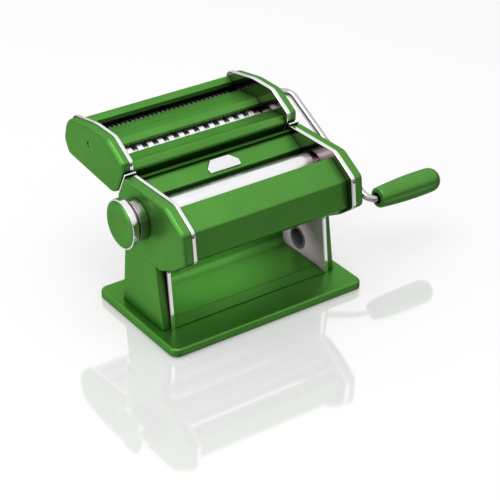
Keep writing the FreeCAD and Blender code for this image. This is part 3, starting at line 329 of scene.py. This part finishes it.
def cast_metal(name, colour, roughness):
    """Sintered part with open pores and an oily film."""
    t = Tree(name, colour, 1.0, roughness)
    pores = t.cells(1500.0)
    oil = t.noise(90.0, detail=3.0)
    dark = tuple(0.45 * c for c in colour)
    t.feed("Base Color", t.mix(t.span(oil, 0.35, 0.7, 0.0, 0.6), colour, dark))
    t.feed("Roughness", t.span(oil, *COMMON, roughness - 0.1, roughness + 0.1))
    t.bump((pores, PORE_HEIGHT, 0.35))
    t.paint_crevice_shade()
    return t.material


def plastic(name, colour, roughness):
    """Moulded plastic with a light spark-eroded texture."""
    t = Tree(name, colour, 0.0, roughness, Specular_IOR_Level=0.5)
    grain = t.noise(1800.0, detail=2.0)
    cloud = t.noise(40.0, detail=2.0)
    dark = tuple(0.88 * c for c in colour)
    t.feed("Base Color", t.mix(t.span(cloud, *COMMON, 0.0, 1.0), colour, dark))
    t.feed("Roughness", t.span(grain, *COMMON, roughness - 0.06, roughness + 0.06))
    t.bump((grain, SPARK_HEIGHT, 0.25))
    t.paint_crevice_shade()
    return t.material


def grip_lacquer(name):
    """Satin lacquer over the turned grip, same green as the body."""
    t = Tree(name, GREEN, 0.65, 0.28, Coat_Weight=0.12, Coat_Roughness=0.18)
    t.set("Specular Tint", (*GREEN_EDGE, 1.0))
    cloud = t.noise(25.0, detail=2.0)
    peel = t.noise(120.0, detail=2.0)
    t.feed("Base Color", t.mix(t.span(cloud, *COMMON, 0.0, 1.0), GREEN_DEEP, GREEN))
    t.feed("Roughness", t.span(peel, *COMMON, 0.26, 0.32))
    t.bump((peel, LACQUER_HEIGHT, 0.04))
    t.paint_crevice_shade()
    return t.material


def rubber(name):
    """Matte rubber with a fine grain and a little dust."""
    t = Tree(name, RUBBER, 0.0, 0.68, Specular_IOR_Level=0.35)
    grain = t.noise(1400.0, detail=3.0)
    dust = t.noise(60.0, detail=4.0)
    t.feed("Base Color", t.mix(t.span(dust, 0.45, 0.8, 0.0, 0.5), RUBBER, RUBBER_DUST))
    t.feed("Roughness", t.span(grain, *COMMON, 0.6, 0.78))
    t.bump((grain, RUBBER_HEIGHT, 0.4))
    t.paint_crevice_shade()
    return t.material


MATERIALS = {
    "green_panel": green_metal("green_panel"),
    "green_chute": green_metal("green_chute", crease=-20.3),
    "green_middle": green_metal("green_middle", crease=86.0),
    "green_nose": green_metal("green_nose", crease=37.2),
    "green_base": green_metal("green_base", grain_depth=0.7),
    "green_cover": green_moulding("green_cover"),
    "green_grip": grip_lacquer("green_grip_lacquer"),
    "chrome_side": steel("chrome_side", CHROME, 0.14, "y", 0.6, 0.04),
    "folded_plate": folded_plate("folded_plate"),
    "chrome_round": turned_metal("chrome_round", CHROME, 0.10, 0.0006, 0.5),
    "chrome_rod": steel("chrome_rod", ROD, 0.16, "z", 0.4, 0.04),
    "sleeve": plastic("sleeve", SLEEVE_SHADE, 0.30),
    "groove_ring": turned_metal("groove_ring", GROOVE, 0.22, 0.0005),
    "zinc": steel("zinc", ZINC, 0.34, "x", 1.0, 0.10),
    "roller": turned_metal("roller", ROLLER, 0.26, 0.0004, 0.7),
    # the cutters keep more of their colour under the painted crevice shade
    "cutter": turned_metal("cutter", CUTTER, 0.34, 0.0005, crevice_shade=0.55),
    "gear": cast_metal("gear", GEAR, 0.40),
    "bronze": cast_metal("bronze", BRONZE, 0.38),
    "comb": plastic("comb", COMB, 0.42),
    "rubber": rubber("rubber"),
    "badge": steel("badge", CHROME, 0.20, "x", 0.6, 0.05),
}

FINISH = {
    "green_panel": ["feed_panel", "front_panel", "rear_panel", "cutter_rear_panel"],
    "green_chute": ["chute"],
    "green_middle": ["cutter_middle_panel"],
    "green_nose": ["cutter_front_panel"],
    "green_base": ["base_plate"],
    "green_cover": ["side_cover_left", "side_cover_right", "cutter_cover_left", "cutter_cover_right",
                    "knob_cap"],
    "green_grip": ["crank_grip"],
    "chrome_side": ["cutter_rails"],
    "folded_plate": ["frame_plate_left", "frame_plate_right", "cutter_frame_left", "cutter_frame_right"],
    "chrome_round": ["knob_rim"],
    "sleeve": ["clamp_sleeves"],
    "chrome_rod": ["crank_rod"],
    "groove_ring": ["index_ring"],
    "zinc": ["foot_bars", "base_screws", "tie_rods", "tie_rod_screws", "cutter_tie_rods", "cutter_rod_screws",
             "cutter_cover_screws", "carriage_bar", "follower_pin", "detent_pins", "knob_spring",
             "knob_spindle", "bearing_block_left", "bearing_block_right", "scraper_front", "scraper_rear"],
    "roller": ["front_roller", "rear_roller"],
    "cutter": ["wide_cutter_front", "wide_cutter_rear", "fine_cutter_front", "fine_cutter_rear"],
    "gear": ["front_gear", "rear_gear", "wide_gear_front", "wide_gear_rear", "fine_gear_front",
             "fine_gear_rear", "scroll_cam"],
    "bronze": ["rear_bushes", "cutter_bushes", "knob_bush"],
    "comb": ["wide_combs", "fine_combs"],
    "rubber": ["rubber_feet"],
    "badge": ["feed_badge"],
}
for finish, names in FINISH.items():
    for node_name in names:
        mesh = NODES[node_name].data
        mesh.materials.clear()
        mesh.materials.append(MATERIALS[finish])


# ---------------------------------------------------------------- return spring of the knob
# The coil is caught between the knob's floor and the head of the spindle; on the real knob a pull shortens
# it.
# Here a copy of the coil is attached to the knob and moves with it unchanged.
spring = bpy.data.objects.new("return_spring", NODES["knob_spring"].data.copy())
bpy.context.scene.collection.objects.link(spring)
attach(spring, "knob")
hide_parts("knob_spring")
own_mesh(spring)


# ---------------------------------------------------------------- floor, lights, camera
FLOOR_SIZE = 40.0
FLOOR_CENTRE = (0.05, 0.02, -0.0004)    # just under the feet
FLOOR_TONE = (0.40, 0.40, 0.40)
FLOOR_ROUGHNESS = 0.06
FLOOR_IOR = 2.6
FLOOR_GLOW = 0.35
WHITE = (1.0, 1.0, 1.0, 1.0)

ROOM_COLOUR = (1.0, 0.99, 0.995, 1.0)
FRONT_GLOW = 0.26                       # level towards the front right, low down
LEFT_GLOW = 0.90                        # level towards the back left, low down
SIDE_REACH = 1.2
ZENITH_GLOW = 1.05
RISE = (-0.15, 0.65)                    # Z of a direction, from the low levels to the zenith's
HORIZON = 0.03
HORIZON_HALF = 0.13
HORIZON_DEPTH = 0.88                    # share of the light that the dark band takes away
CARD_DIRECTION = (0.491, -0.722, -0.488)
CARD_EDGE = 0.965
CARD_CORE = 0.990
CARD_GLOW = 0.60

# name: place, target, width, height, power in watts
SOFTBOXES = {
    "top_box": ((-0.25, -0.15, 1.3), (0.0, 0.0, 0.1), 1.2, 0.9, 8.0),
    "left_box": ((-1.4, 0.2, 0.5), (0.0, 0.0, 0.08), 0.9, 0.7, 4.0),
    "tunnel_fill": ((-0.01, 0.002, 0.064), (-0.01, 0.020, 0.012), 0.12, 0.02, 0.15),
}
TUNNEL_SPREAD = 142.0

CAMERA_PLACE = (-0.69397, -1.02036, 0.76879)
CAMERA_TILT = 59.53
CAMERA_TURN = -34.99
CAMERA_LENS = 118.9
CAMERA_SENSOR = 36.0


def stage_floor():
    """Plain pale glossy table, larger than every view.  The object's own reflections and bounces pass
    through it to the room below."""
    bpy.ops.mesh.primitive_plane_add(size=FLOOR_SIZE, location=FLOOR_CENTRE)
    floor = bpy.context.object
    floor.name = "floor"
    t = Tree("floor_white", FLOOR_TONE, 0.0, FLOOR_ROUGHNESS, IOR=FLOOR_IOR)
    t.set("Emission Color", WHITE)
    t.set("Emission Strength", FLOOR_GLOW)
    floor.data.materials.append(t.material)
    floor.visible_glossy = False
    floor.visible_diffuse = False


def world_light():
    """White room: brightest overhead, dimming from the back left to the front right, with a dark band
    round the horizon."""
    world = bpy.data.worlds.new("studio")
    bpy.context.scene.world = world
    g = Graph(world)
    direction = g.nodes.new("ShaderNodeTexCoord").outputs["Generated"]
    axes = g.axes(direction)
    height = axes["Z"]
    back_left = g.math("SUBTRACT", axes["Y"], axes["X"])
    low = g.span(back_left, -SIDE_REACH, SIDE_REACH, FRONT_GLOW, LEFT_GLOW, smooth=True)
    rise = g.span(height, *RISE, 0.0, 1.0, smooth=True)
    level = g.math("ADD", low, g.math("MULTIPLY", rise, g.math("SUBTRACT", ZENITH_GLOW, low)))
    off_horizon = g.math("ABSOLUTE", g.math("SUBTRACT", height, HORIZON))
    band = g.span(off_horizon, 0.0, HORIZON_HALF, HORIZON_DEPTH, 0.0, smooth=True)
    level = g.math("MULTIPLY", level, g.math("SUBTRACT", 1.0, band))
    # a white card low at the front right, found mostly by the reflections of upright bright faces
    toward = g.nodes.new("ShaderNodeVectorMath")
    toward.operation = "DOT_PRODUCT"
    g.join(direction, toward.inputs[0])
    toward.inputs[1].default_value = CARD_DIRECTION
    card = g.span(toward.outputs["Value"], CARD_EDGE, CARD_CORE, 0.0, CARD_GLOW, smooth=True)
    background = g.nodes["Background"]
    g.join(g.math("ADD", level, card), background.inputs["Strength"])
    background.inputs["Color"].default_value = ROOM_COLOUR


def softbox(name, place, target, width, height, power):
    light = bpy.data.lights.new(name, "AREA")
    light.shape = "RECTANGLE"
    light.size = width
    light.size_y = height
    light.energy = power
    box = bpy.data.objects.new(name, light)
    box.location = place
    box.rotation_euler = (Vector(target) - Vector(place)).to_track_quat("-Z", "Y").to_euler()
    bpy.context.scene.collection.objects.link(box)
    return box


def add_camera():
    data = bpy.data.cameras.new("camera")
    camera = bpy.data.objects.new("camera", data)
    data.sensor_width = CAMERA_SENSOR
    data.lens = CAMERA_LENS
    camera.location = CAMERA_PLACE
    camera.rotation_euler = (math.radians(CAMERA_TILT), 0.0, math.radians(CAMERA_TURN))
    bpy.context.scene.collection.objects.link(camera)
    bpy.context.scene.camera = camera


bpy.context.scene.view_settings.view_transform = "Standard"
stage_floor()
world_light()
boxes = {name: softbox(name, *row) for name, row in SOFTBOXES.items()}
# a small fill between the legs, where the room's light barely reaches; it isn't seen or mirrored itself
tunnel = boxes["tunnel_fill"]
tunnel.data.spread = math.radians(TUNNEL_SPREAD)
tunnel.visible_camera = False
tunnel.visible_glossy = False
add_camera()
